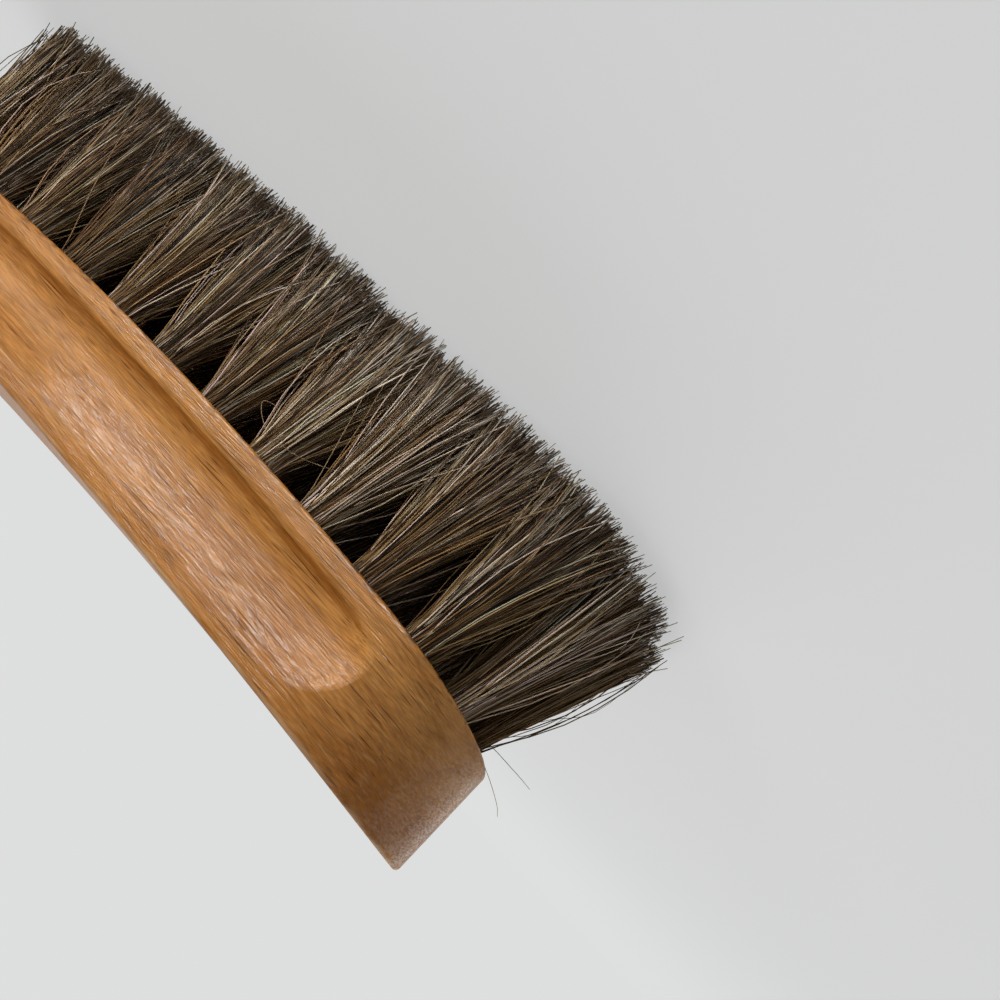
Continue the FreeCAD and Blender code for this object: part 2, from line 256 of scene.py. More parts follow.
def streak_pattern(detail: float = 2.5, roughness: float = 0.55) -> bpy.types.NodeTree:
    """The node group of drawn-out streaks that all the finishes share, built once.

    Args:
        detail: how many finer layers the noise has.
        roughness: how strong they are.

    Returns:
        The group's tree.
    """
    name = "drawn_out_streaks"
    if name in bpy.data.node_groups:
        return bpy.data.node_groups[name]
    tree = bpy.data.node_groups.new(name, "ShaderNodeTree")
    sockets = (("Place", "Vector"), ("Stretch", "Vector"), ("Low", "Float"), ("High", "Float"))
    for label, kind in sockets:
        tree.interface.new_socket(label, in_out="INPUT", socket_type="NodeSocket" + kind)
    tree.interface.new_socket("Mask", in_out="OUTPUT", socket_type="NodeSocketFloat")
    bench = NodeBench(tree)
    given = bench.add("NodeGroupInput").outputs
    drawn = bench.add("VectorMath", {"operation": "MULTIPLY"})
    bench.feed(drawn, 0, given["Place"])
    bench.feed(drawn, 1, given["Stretch"])
    noise = bench.add("TexNoise", Vector=drawn.outputs[0], Scale=1.0, Detail=detail, Roughness=roughness)
    mask = bench.span(noise.outputs["Fac"], (given["Low"], given["High"]))
    bench.add("NodeGroupOutput", Mask=mask)
    return tree


def new_material(name: str) -> tuple[Material, NodeBench]:
    """Makes an empty node material.

    Args:
        name: the material's name.

    Returns:
        The material and a bench on its tree.
    """
    material = bpy.data.materials.new(name)
    material.use_nodes = True
    return material, NodeBench(material.node_tree)


@dataclass(frozen=True)
class VarnishedBeech:
    """Steamed beech under amber varnish, with polish stains at the bristle face and a painted highlight
    on the back's round edge.

    The figure, streaks, fibres and rays run along the block's length, and fade on its end walls.
    Its pale streaks are partly the wood's own grain and partly painted glints.
    """

    block: BlockSize = BlockSize()
    pale: Colour = (0.485, 0.215, 0.052)
    amber: Colour = (0.35, 0.126, 0.020)
    dark: Colour = (0.23, 0.076, 0.009)
    # colour of the pale streaks: partly the wood's own pale grain, partly painted glints
    light: Colour = (0.64, 0.37, 0.125)
    pore: Colour = (0.090, 0.026, 0.002)
    stain: Colour = (0.030, 0.022, 0.016)
    # colour of the painted highlight on the back's round edge
    painted_rim_light: Colour = (0.60, 0.40, 0.230)

    figure: Streaks = Streaks((9, 95, 60), (0.34, 0.66))
    band: Streaks = Streaks((22, 420, 250), (0.42, 0.62))
    band_share: float = 0.30
    streak: Streaks = Streaks((45, 1100, 400), (0.48, 0.72))
    streak_share: float = 0.36
    fibre: Streaks = Streaks((230, 3000, 900), (0.36, 0.64))
    fibre_tones: Span = (0.82, 1.14)
    hairline: Streaks = Streaks((330, 5600, 1500), (0.38, 0.62))
    hairline_tones: Span = (0.83, 1.14)
    # pale streaks along the fibres: partly the wood's own grain, partly painted glints
    pale_grain_and_glint: Streaks = Streaks((120, 2500, 700), (0.57, 0.70))
    pale_grain_and_glint_share: float = 0.32
    dark_rays: tuple[Rays, Rays, Rays] = (
        Rays((130, 2900, 420), 0.28, 0.68),
        Rays((48, 3200, 300), 0.29, 0.52),
        Rays((280, 4300, 900), 0.30, 0.78),
    )
    end_facing: Span = (0.40, 0.85)
    end_shows: Span = (1.0, 0.22)

    level_facing: float = 0.7
    wave: Streaks = Streaks((14, 40, 40), (0.3, 0.7))
    wave_height: float = 1.2 * MM
    lean: float = 0.08

    stain_rise: Span = (1.1 * MM, 0.1 * MM)
    stain_shows: Span = (0.0, 0.8)
    specks: Streaks = Streaks((420, 700, 900), (0.54, 0.64))

    # painted highlight on the back's round edge: how far it reaches, how strong it is, which part of the
    # edge it covers, and its patches
    rim_light_rise: Span = (-1.4 * MM, -0.6 * MM)
    rim_light_shows: Span = (0.0, 0.55)
    edge_begins: Span = (0.2, 0.5)
    edge_ends: Span = (0.99, 0.85)
    rim_light_patches: Streaks = Streaks((120, 300, 300), (0.35, 0.65))

    roughness: Span = (0.52, 0.39)
    specular: float = 0.03
    gloss: Streaks = Streaks((420, 3300, 1200), (0.38, 0.62))
    varnish: Span = (0.12, 0.46)
    varnish_roughness: float = 0.10
    relief: float = 0.045 * MM
    fibre_relief: float = 0.6
    hairline_relief: float = 0.3
    ray_relief: float = 0.3

    def make(self) -> Material:
        """Builds the material.

        Returns:
            The finished material.
        """
        material, bench = new_material("varnished_beech")
        given = bench.add("TexCoord").outputs
        place = given["Object"]
        faces = bench.add("SeparateXYZ", Vector=given["Normal"]).outputs
        lying = bench.math("ABSOLUTE", faces["Z"])
        shown = bench.span(bench.math("ABSOLUTE", faces["X"]), self.end_facing, self.end_shows)
        grain = self.grain(bench, place, lying)
        fibre = bench.streaks(grain, self.fibre)
        hairline = bench.streaks(grain, self.hairline)
        rays = bench.math("MULTIPLY", self.ray_mask(bench, grain), shown)

        tone = self.ground_tone(bench, grain)
        for mask, tones in ((fibre, self.fibre_tones), (hairline, self.hairline_tones)):
            tone = bench.mix(shown, tone, bench.span(mask, FULL, tones), "MULTIPLY")
        # pale streaks: partly real pale grain, partly painted glints on the fibres
        light = bench.math("MULTIPLY", bench.streaks(grain, self.pale_grain_and_glint), self.pale_grain_and_glint_share)
        tone = bench.mix(bench.math("MULTIPLY", light, shown), tone, self.light)
        tone = bench.mix(rays, tone, self.pore)
        # painted highlight: a lighter colour along the back's round edge
        tone = bench.mix(self.painted_rim_mask(bench, place, lying), tone, self.painted_rim_light)
        tone = bench.mix(self.stains(bench, place), tone, self.stain)

        ridges = bench.math("MULTIPLY", fibre, self.fibre_relief)
        ridges = bench.math("ADD", ridges, bench.math("MULTIPLY", hairline, self.hairline_relief))
        ridges = bench.math("SUBTRACT", ridges, bench.math("MULTIPLY", rays, self.ray_relief))
        height = bench.math("MULTIPLY", ridges, shown)
        normal = bench.add("Bump", Strength=1.0, Distance=self.relief, Height=height).outputs["Normal"]
        shader = bench.add(
            "BsdfPrincipled",
            Base_Color=tone,
            Roughness=bench.span(fibre, FULL, self.roughness),
            Specular_IOR_Level=self.specular,
            Coat_Weight=bench.span(bench.streaks(grain, self.gloss), FULL, self.varnish),
            Coat_Roughness=self.varnish_roughness,
            Normal=normal,
            Coat_Normal=normal,
        )
        bench.add("OutputMaterial", Surface=shader.outputs[0])
        return material

    def grain(self, bench: NodeBench, place: Socket, lying: Socket) -> Socket:
        """Coordinates along the grain, across it on the surface, and into the wood.

        Args:
            bench: the material's bench.
            place: the block's own coordinates.
            lying: how level the surface lies.

        Returns:
            The coordinates, slightly wavy.
        """
        parts = bench.add("SeparateXYZ", Vector=place).outputs
        level = bench.math("GREATER_THAN", lying, self.level_facing)
        turned = bench.math("MULTIPLY", level, bench.math("SUBTRACT", parts["Y"], parts["Z"]))
        across = bench.math("ADD", parts["Z"], turned)
        depth = bench.math("SUBTRACT", parts["Y"], turned)
        wave = bench.math("MULTIPLY", bench.streaks(place, self.wave), self.wave_height)
        lean = bench.math("MULTIPLY", depth, self.lean)
        across = bench.math("ADD", bench.math("ADD", across, wave), lean)
        return bench.add("CombineXYZ", X=parts["X"], Y=across, Z=depth).outputs[0]

    def ground_tone(self, bench: NodeBench, grain: Socket) -> Socket:
        """The wood's broad figure with its darker bands and streaks.

        Args:
            bench: the material's bench.
            grain: the coordinates along the grain.

        Returns:
            The colour.
        """
        tone = bench.mix(bench.streaks(grain, self.figure), self.amber, self.pale)
        for pattern, share in ((self.band, self.band_share), (self.streak, self.streak_share)):
            mask = bench.math("MULTIPLY", bench.streaks(grain, pattern), share)
            tone = bench.mix(mask, tone, self.dark)
        return tone

    def ray_mask(self, bench: NodeBench, grain: Socket) -> Socket:
        """The thin dark rays, in three lengths.

        Args:
            bench: the material's bench.
            grain: the coordinates along the grain.

        Returns:
            A mask from 0 to 1.
        """
        masks = []
        for rays in self.dark_rays:
            laid = bench.add("Mapping", Vector=grain, Scale=rays.stretch).outputs["Vector"]
            cells = bench.add("TexVoronoi", {"feature": "F1"}, Vector=laid, Scale=1.0, Randomness=1.0)
            near = bench.span(cells.outputs["Distance"], (rays.reach, rays.reach * rays.core))
            draw = bench.add("SeparateColor", Color=cells.outputs["Color"]).outputs[0]
            chosen = bench.span(draw, (rays.kept, rays.kept + rays.fade), (0.0, rays.strength))
            masks.append(bench.math("MULTIPLY", near, chosen))
        first, second, third = masks
        return bench.math("MAXIMUM", bench.math("MAXIMUM", first, second), third)

    def rise(self, bench: NodeBench, place: Socket, height: float, bow: float) -> Socket:
        """How far a point lies above the bowed bristle face or the bowed back.

        Args:
            bench: the material's bench.
            place: the block's own coordinates.
            height: the height of the face or the back at the middle.
            bow: the radius of its bow.

        Returns:
            The distance in metres.
        """
        parts = bench.add("SeparateXYZ", Vector=place).outputs
        lift = bench.math("MULTIPLY", bench.math("MULTIPLY", parts["X"], parts["X"]), 1 / (2 * bow))
        return bench.math("SUBTRACT", bench.math("SUBTRACT", parts["Z"], height), lift)

    def stains(self, bench: NodeBench, place: Socket) -> Socket:
        """Old polish on the bristle face, in specks along its edge.

        Args:
            bench: the material's bench.
            place: the block's own coordinates.

        Returns:
            A mask from 0 to 1.
        """
        bow = self.block.bow(self.block.face_crown)
        rise = self.rise(bench, place, self.block.face_height, bow)
        near = bench.span(rise, self.stain_rise, self.stain_shows)
        return bench.math("MULTIPLY", near, bench.streaks(place, self.specks))

    def painted_rim_mask(self, bench: NodeBench, place: Socket, lying: Socket) -> Socket:
        """The back's round edge, made lighter in patches as a painted highlight.

        Args:
            bench: the material's bench.
            place: the block's own coordinates.
            lying: how level the surface lies.

        Returns:
            A mask from 0 to 1.
        """
        bow = self.block.bow(self.block.back_hollow)
        rise = self.rise(bench, place, self.block.back_height, bow)
        near = bench.span(rise, self.rim_light_rise, self.rim_light_shows)
        begins = bench.span(lying, self.edge_begins)
        edge = bench.math("MULTIPLY", begins, bench.span(lying, self.edge_ends))
        painted_rim_light = bench.math("MULTIPLY", near, edge)
        return bench.math("MULTIPLY", painted_rim_light, bench.streaks(place, self.rim_light_patches))


@dataclass(frozen=True)
class Horsehair:
    """Loose, slightly glossy hair whose colour each strand carries."""

    name: str = "mixed_horsehair"
    attribute: str = "hair_tone"
    cloud: Streaks = Streaks((900, 900, 500), (0.3, 0.7))
    soil: Colour = (0.50, 0.43, 0.36)
    soil_share: float = 0.30
    roughness: Span = (0.30, 0.44)
    specular: float = 0.12

    def make(self) -> Material:
        """Builds the material.

        Returns:
            The finished material.
        """
        material, bench = new_material(self.name)
        tone = bench.add("Attribute", {"attribute_name": self.attribute}).outputs["Color"]
        cloud = bench.streaks(bench.add("TexCoord").outputs["Object"], self.cloud)
        soiled = bench.mix(1.0, tone, self.soil, "MULTIPLY")
        tone = bench.mix(bench.math("MULTIPLY", cloud, self.soil_share), tone, soiled)
        shader = bench.add(
            "BsdfPrincipled",
            Base_Color=tone,
            Roughness=bench.span(cloud, FULL, self.roughness),
            Specular_IOR_Level=self.specular,
        )
        bench.add("OutputMaterial", Surface=shader.outputs[0])
        return material


@dataclass(frozen=True)
class StapleWire:
    """Drawn flat steel wire with faint drawing lines."""

    steel: Colour = (0.56, 0.56, 0.57)
    dull: Colour = (0.36, 0.35, 0.34)
    lines: Streaks = Streaks((700, 700, 9000), (0.3, 0.7))
    roughness: Span = (0.24, 0.42)
    relief: float = 0.01 * MM
    relief_strength: float = 0.2

    def make(self) -> Material:
        """Builds the material.

        Returns:
            The finished material.
        """
        material, bench = new_material("staple_wire")
        lines = bench.streaks(bench.add("TexCoord").outputs["Object"], self.lines)
        bump = bench.add("Bump", Strength=self.relief_strength, Distance=self.relief, Height=lines)
        shader = bench.add(
            "BsdfPrincipled",
            Base_Color=bench.mix(lines, self.steel, self.dull),
            Metallic=1.0,
            Roughness=bench.span(lines, FULL, self.roughness),
            Normal=bump.outputs["Normal"],
        )
        bench.add("OutputMaterial", Surface=shader.outputs[0])
        return material


@dataclass(frozen=True)
class PaleGround:
    """A plain pale surface that shows evenly to the camera and keeps a soft shadow."""

    tone: Colour = (0.725, 0.735, 0.73)
    even: float = 0.64
    shadow_reach: Span = (0.18, 0.42)

    def make(self) -> Material:
        """Builds the material.

        Returns:
            The finished material.
        """
        material, bench = new_material("pale_ground")
        shaded = bench.add("BsdfDiffuse", Color=(*self.tone, 1.0))
        plain = bench.add("Emission", Color=(*self.tone, 1.0), Strength=1.0)
        place = bench.add("TexCoord").outputs["Object"]
        away = bench.add("VectorMath", {"operation": "LENGTH"}, Vector=place).outputs["Value"]
        even = bench.span(away, self.shadow_reach, (self.even, 1.0))
        seen = bench.math("MULTIPLY", self.seen(bench), even)
        both = bench.add("MixShader")
        for number, value in enumerate((seen, shaded.outputs[0], plain.outputs[0])):
            bench.feed(both, number, value)
        bench.add("OutputMaterial", Surface=both.outputs[0])
        return material

    @staticmethod
    def seen(bench: NodeBench) -> Socket:
        """Whether the camera sees a point directly, in a reflection or through glass.

        Args:
            bench: the tree's bench.

        Returns:
            1 where it does, and otherwise 0.
        """
        path = bench.add("LightPath").outputs
        direct = bench.math("ADD", path["Is Camera Ray"], path["Is Glossy Ray"], clamp=True)
        return bench.math("ADD", direct, path["Is Transmission Ray"], clamp=True)


@dataclass(frozen=True)
class Strands:
    """Hair strands as centre lines: points, radii and colours, each as [strand, step].

    The aside direction lies along no strand, and each patch is given by its margin and its run.
    """

    points: np.ndarray
    radii: np.ndarray
    colours: np.ndarray
    sides: int = 3
    aside: Point = (0.31, 0.87, 0.38)
    bake_map: str = "OFBake"
    patch_across: Span = (0.15, 0.7)
    patch_along: Span = (0.1, 0.8)

    def mesh(self, name: str, attribute: str) -> bpy.types.Mesh:
        """Skins the centre lines as slim tapered prisms with a closed tip.

        Args:
            name: the mesh's name.
            attribute: the colour attribute to write.

        Returns:
            The mesh, with its colours and with a map that gives each strand a patch of its own.
        """
        count, steps, _ = self.points.shape
        mesh = bpy.data.meshes.new(name)
        mesh.vertices.add(count * steps * self.sides)
        mesh.vertices.foreach_set("co", self.rings().astype(np.float32).ravel())

        walls, tips = self.faces()
        corners = np.concatenate([walls.ravel(), tips.ravel()]).astype(np.int32)
        wall_starts = np.arange(len(walls)) * walls.shape[1]
        tip_starts = walls.size + np.arange(count) * self.sides
        starts = np.concatenate([wall_starts, tip_starts]).astype(np.int32)
        mesh.loops.add(len(corners))
        mesh.loops.foreach_set("vertex_index", corners)
        mesh.polygons.add(len(starts))
        mesh.polygons.foreach_set("loop_start", starts)
        mesh.polygons.foreach_set("use_smooth", np.ones(len(starts), bool))
        mesh.update(calc_edges=True)

        tones = mesh.color_attributes.new(attribute, "FLOAT_COLOR", "POINT")
        shown = np.ones((count, steps, self.sides, 4), np.float32)
        shown[..., :3] = self.colours[:, :, None, :]
        tones.data.foreach_set("color", shown.ravel())
        layer = mesh.uv_layers.new(name=self.bake_map)
        layer.data.foreach_set("uv", self.patches()[corners].astype(np.float32).ravel())
        return mesh

    def faces(self) -> tuple[np.ndarray, np.ndarray]:
        """Joins the corners of the rings to faces.

        Returns:
            The corners' numbers of each wall, in rows of four, and of each closed tip.
        """
        count, steps, _ = self.points.shape
        base = np.arange(count)[:, None, None] * steps * self.sides
        step = np.arange(steps - 1)[None, :, None] * self.sides
        side = np.arange(self.sides)[None, None, :]
        this = base + step + side
        after = base + step + (side + 1) % self.sides
        walls = np.stack([this, after, after + self.sides, this + self.sides], -1)
        tips = base[:, 0] + (steps - 1) * self.sides + side[0]
        return walls.reshape(-1, walls.shape[-1]), tips

    def rings(self) -> np.ndarray:
        """Sets corners round each centre line.

        Returns:
            Their places, as [strand, step, side, axis].
        """
        along = np.gradient(self.points, axis=1)
        along /= np.linalg.norm(along, axis=2, keepdims=True)
        level = np.cross(along, np.array(self.aside))
        level /= np.linalg.norm(level, axis=2, keepdims=True)
        upright = np.cross(along, level)
        turn = 2 * math.pi * np.arange(self.sides) / self.sides
        out = np.cos(turn)[None, None, :, None] * level[:, :, None, :]
        out = out + np.sin(turn)[None, None, :, None] * upright[:, :, None, :]
        return self.points[:, :, None, :] + out * self.radii[:, :, None, None]

    def patches(self) -> np.ndarray:
        """Gives each strand a cell of its own on the map.

        Returns:
            The place of each corner on the map.
        """
        count, steps, _ = self.points.shape
        across = math.ceil(math.sqrt(count))
        column = (np.arange(count) % across)[:, None, None]
        line = (np.arange(count) // across)[:, None, None]
        margin, run = self.patch_across
        inside = margin + run * np.arange(self.sides) / (self.sides - 1)
        margin, run = self.patch_along
        reached = margin + run * np.arange(steps) / (steps - 1)
        place = np.zeros((count, steps, self.sides, 2))
        place[..., 0] = (column + inside[None, None, :]) / across
        place[..., 1] = (line + reached[None, :, None]) / across
        return place.reshape(-1, 2)


def add_piece(name: str, mesh: bpy.types.Mesh, material: Material) -> bpy.types.Object:
    """Puts a finished mesh into the scene as a piece of the brush.

    Args:
        name: the piece's name.
        mesh: its mesh, in place.
        material: its finish.

    Returns:
        The piece.
    """
    piece = bpy.data.objects.new(name, mesh)
    bpy.context.scene.collection.objects.link(piece)
    mesh.materials.append(material)
    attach(piece, "root")
    return piece


@dataclass(frozen=True)
class TuftPlace:
    """Where one tuft leaves the block, where its trimmed tips lie, and half the room that they have."""

    mouth: Vector
    foot: Vector
    heading: Vector
    half_run: float
    half_row: float


@dataclass(frozen=True)
class TuftHabit:
    """How a tuft's hairs lie: turns in radians, lengths in millimetres, spreads as shares of its room.

    Pairs named drawn, thickness and pale_thickness hold the least value and what may be added to it,
    and bows holds the spread of a bowed hair and that of any other.
    """

    steps: int = 7
    locks: int = 34
    golden_turn: float = 2.399963
    turn_spread: float = 0.15
    place_spread: float = 0.03
    loose_share: float = 0.05
    drawn: Span = (0.20, 0.40)
    lock_spread: float = 0.12
    stray_spread: float = 0.20
    loose_spread: float = 0.5
    calm_spread: float = 0.04
    outer_edge: float = 0.95
    outer_pull: float = 0.7
    run_room: float = 1.42
    row_room: float = 1.12
    spread_bend: float = 1.3
    stray_bend: int = 2
    trim: float = 0.45
    lock_trim: float = 1.1
    short_share: float = 0.12
    short_trim: float = 5.0
    bowed_share: float = 0.14
    bows: Span = (1.6, 0.48)
    wave: float = 0.10
    lowest: float = 0.1
    thickness: Span = (0.72, 0.45)
    pale_thickness: Span = (0.9, 0.5)
    taper_at: tuple[float, ...] = (0, 0.55, 0.9, 1.0)
    taper: tuple[float, ...] = (1.05, 1.0, 0.92, 0.72)


@dataclass(frozen=True)
class HairMix:
    """How a tuft's tones are mixed: the lean of its locks, and how hairs differ and change along them."""

    evenness: float = 7.0
    common_share: float = 0.40
    lock_share: float = 0.60
    depth_spread: float = 0.20
    hue_spread: float = 0.05
    tip_grey: Colour = (1.0, 0.94, 0.86)
    tip_share: float = 0.28
    tip_start: float = 0.6
    # painted shade: the roots darken where the hairs go into the block
    root_end: float = 0.12
    painted_root_shade: float = 0.35
    limits: Span = (0.002, 0.9)


@dataclass(frozen=True)
class Bunch:
    """A tuft's hairs: places in the hole, locks, and offsets at the tips as shares of its room."""

    disc: np.ndarray
    lock: np.ndarray
    spread: np.ndarray
    stray: np.ndarray
    wild: np.ndarray


@dataclass
class Hair:
    """All the tufts: an outer ring, a middle ring and a centre row."""

    block: BlockSize = BlockSize()
    ring_inset: float = 6.5 * MM
    side_reach: float = 4.0 * MM
    end_reach: float = 8.0 * MM
    hole_radius: float = 2.72 * MM
    sunk: float = 1.5 * MM
    tip_crown: float = 2.4 * MM
    strand_radius: float = 0.110 * MM
    tip_rows: int = 5
    seed_step: int = 1000
    counts: dict[TuftRow, tuple[int, int]] = field(
        default_factory=lambda: {TuftRow.OUTER: (9, 5), TuftRow.MIDDLE: (8, 2), TuftRow.CENTRE: (8, 0)}
    )
    strands: dict[TuftRow, int] = field(
        default_factory=lambda: {TuftRow.OUTER: 1000, TuftRow.MIDDLE: 600, TuftRow.CENTRE: 560}
    )
    finish: Horsehair = field(default_factory=Horsehair)
    habit: TuftHabit = field(default_factory=TuftHabit)
    mix: HairMix = field(default_factory=HairMix)

    def __post_init__(self) -> None:
        """Works out the rings' sizes."""
        self.straight = self.block.length - self.block.width
        self.tip_run = self.straight + 2 * (self.end_reach - self.side_reach)
        self.tip_row = (self.block.width + 2 * self.side_reach) / self.tip_rows
        self.root_ring = self.block.width / 2 - self.ring_inset

    def ring(self, counts: tuple[int, int], run: float, radius: float) -> Iterator[Point]:
        """Places round a ring with two straight runs and two round ends.

        Args:
            counts: tufts along each run and round each end.
            run: the length of a straight run.
            radius: the radius of the ends.

        Yields:
            x, y and heading of each place.
        """
        side_count, end_count = counts
        for turn, way in ((0.0, 1), (math.pi, -1)):
            for number in range(side_count):
                along = run * (2 * number + 1 - side_count) / (2 * side_count)
                yield way * along, -way * radius, turn
            for number in range(end_count):
                angle = math.pi * (2 * number + 1) / (2 * end_count)
                along = run / 2 + radius * math.sin(angle)
                yield way * along, -way * radius * math.cos(angle), turn + angle

    def places(self, row: TuftRow) -> list[TuftPlace]:
        """Where the tufts of a row stand, in the order of their solids' numbers.

        Args:
            row: the row.

        Returns:
            The places.
        """
        side_count, _ = self.counts[row]
        if row is TuftRow.CENTRE:
            shares = [(2 * number + 1 - side_count) / (2 * side_count) for number in range(side_count)]
            roots = [(self.straight * share, 0.0, 0.0) for share in shares]
            tips = [(self.tip_run * share, 0.0, 0.0) for share in shares]
        else:
            lanes = 2 if row is TuftRow.OUTER else 1
            roots = list(self.ring(self.counts[row], self.straight, self.root_ring * lanes / 2))
            tips = list(self.ring(self.counts[row], self.tip_run, self.tip_row * lanes))
        bow = self.block.bow(self.block.face_crown)
        half_run = self.tip_run / (2 * side_count)
        found = []
        for (x, y, _), (tip_x, tip_y, turn) in zip(roots, tips):
            mouth = Vector((x, y, self.block.face_height + bow - math.sqrt(bow**2 - x**2)))
            foot = Vector((tip_x, tip_y, 0.0))
            heading = Vector((math.cos(turn), math.sin(turn), 0.0))
            found.append(TuftPlace(mouth, foot, heading, half_run, self.tip_row / 2))
        return found

    def build(self) -> list[bpy.types.Object]:
        """Grows every tuft and lets it stand for its solid.

        Returns:
            The tufts.
        """
        material = self.finish.make()
        pieces = []
        for row_number, row in enumerate(TuftRow):
            for number, place in enumerate(self.places(row), start=1):
                name = f"tuft_{row.value}_{number:02d}"
                random = np.random.default_rng(self.seed_step * row_number + number)
                strands = self.grow(place, row, random)
                mesh = strands.mesh(name + "_hair", self.finish.attribute)
                piece = add_piece(name + "_hair", mesh, material)
                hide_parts(name)
                pieces.append(piece)
        return pieces

    def grow(self, place: TuftPlace, row: TuftRow, random: np.random.Generator) -> Strands:
        """Grows one tuft out of its hole to its trimmed tips.

        Args:
            place: where the tuft stands.
            row: the row that it stands in.
            random: the tuft's own seeded numbers.

        Returns:
            Its strands.
        """
        habit = self.habit
        mouth = np.array(place.mouth)
        axis = np.array(place.foot) - mouth
        down = axis / np.linalg.norm(axis)
        heading = np.array(place.heading)
        outward = np.cross(heading, [0.0, 0.0, 1.0])
        first = heading - down * (heading @ down)
        first /= np.linalg.norm(first)
        second = np.cross(down, first)
        if second @ outward < 0:
            second = -second

        def tip_offsets(shares: np.ndarray) -> np.ndarray:
            """Offsets at the tips for shares of the tuft's room along and across its row."""
            along = heading[None] * (shares[:, :1] * place.half_run * habit.run_room)
            return (along + outward[None] * (shares[:, 1:] * place.half_row * habit.row_room))[:, None]

        bunch = self.gather(row, random)
        root = self.hole_radius * (bunch.disc[:, :1] * first[None] + bunch.disc[:, 1:] * second[None])
        start = -self.sunk / np.linalg.norm(axis)
        end = self.ends(place, bunch.lock, random)
        share = np.linspace(0, 1, habit.steps)
        reached = start + (end - start)[:, None] * share[None, :]
        fan = np.clip(reached, 0, None)[..., None]
        points = mouth + axis * reached[..., None] + root[:, None] * (1 - fan)
        drift = tip_offsets(bunch.spread) * fan**habit.spread_bend
        points += drift + tip_offsets(bunch.stray) * fan**habit.stray_bend
        points += tip_offsets(bunch.wild) * fan

        count = len(points)
        bow_size = np.where(random.random(count) < habit.bowed_share, *habit.bows) * MM
        bow = random.normal(0, 1, (count, 2)) * bow_size[:, None]
        points += 4 * fan * (1 - fan) * (bow[:, None, :1] * first + bow[:, None, 1:] * second)
        wave = random.normal(0, habit.wave, (count, habit.steps, 3)) * MM
        wave[:, 0] = 0
        points += wave * fan
        points[..., 2] = np.maximum(points[..., 2], habit.lowest * MM)

        colours = self.tones(bunch.lock, share, random)
        least, more = habit.thickness
        thick = self.strand_radius * (least + more * random.random(count))
        least, more = habit.pale_thickness
        thick = thick * (least + more * colours.mean((1, 2)))
        taper = np.interp(share, habit.taper_at, habit.taper)
        return Strands(points, thick[:, None] * taper[None, :], colours)

    def gather(self, row: TuftRow, random: np.random.Generator) -> Bunch:
        """Fills a tuft's hole with hairs and draws them into locks towards the tips.

        Args:
            row: the row that the tuft stands in.
            random: the tuft's own seeded numbers.

        Returns:
            The hairs' places and offsets.
        """
        habit = self.habit
        count = self.strands[row]
        number = np.arange(count)
        reach = np.sqrt((number + 0.5) / count)
        turn = number * habit.golden_turn + random.normal(0, habit.turn_spread, count)
        disc = reach[:, None] * self.circle(turn) + random.normal(0, habit.place_spread, (count, 2))
        seed_reach = np.sqrt(random.random(habit.locks))
        seeds = seed_reach[:, None] * self.circle(random.random(habit.locks) * 2 * math.pi)
        lock = np.argmin(((disc[:, None, :] - seeds[None]) ** 2).sum(2), 1)
        loose = random.random(count) < habit.loose_share
        least, more = habit.drawn
        drawn = np.where(loose, 0.0, (least + more * random.random(habit.locks))[lock])[:, None]
        lock_tip = seeds + random.normal(0, habit.lock_spread, seeds.shape)
        spread = disc * (1 - drawn) + lock_tip[lock] * drawn
        stray = random.normal(0, habit.stray_spread, disc.shape)
        astray = random.normal(0, habit.loose_spread, disc.shape)
        calm = random.normal(0, habit.calm_spread, disc.shape)
        wild = np.where(loose[:, None], astray, calm)
        if row is TuftRow.OUTER:
            past = np.maximum(spread[:, 1] + stray[:, 1] + wild[:, 1] - habit.outer_edge, 0)
            wild[:, 1] -= habit.outer_pull * past
        return Bunch(disc, lock, spread, stray, wild)

    def ends(self, place: TuftPlace, lock: np.ndarray, random: np.random.Generator) -> np.ndarray:
        """Where the hairs are cut off: locks are trimmed together, and some hairs are short.

        Args:
            place: where the tuft stands.
            lock: the lock that each hair belongs to.
            random: the tuft's own seeded numbers.

        Returns:
            Each hair's length as a share of the way from the hole to the ground.
        """
        habit = self.habit
        trim = np.abs(random.normal(0, habit.trim, len(lock)))
        trim += (habit.lock_trim * random.random(habit.locks) ** 2)[lock]
        short = random.random(len(lock)) < habit.short_share
        trim[short] += random.random(short.sum()) * habit.short_trim
        trim += self.tip_crown / MM * (place.foot.x / (self.block.length / 2)) ** 2
        return 1.0 - trim * MM / place.mouth.z

    @staticmethod
    def circle(angles: np.ndarray) -> np.ndarray:
        """Points of a unit circle at these angles."""
        return np.stack([np.cos(angles), np.sin(angles)], 1)

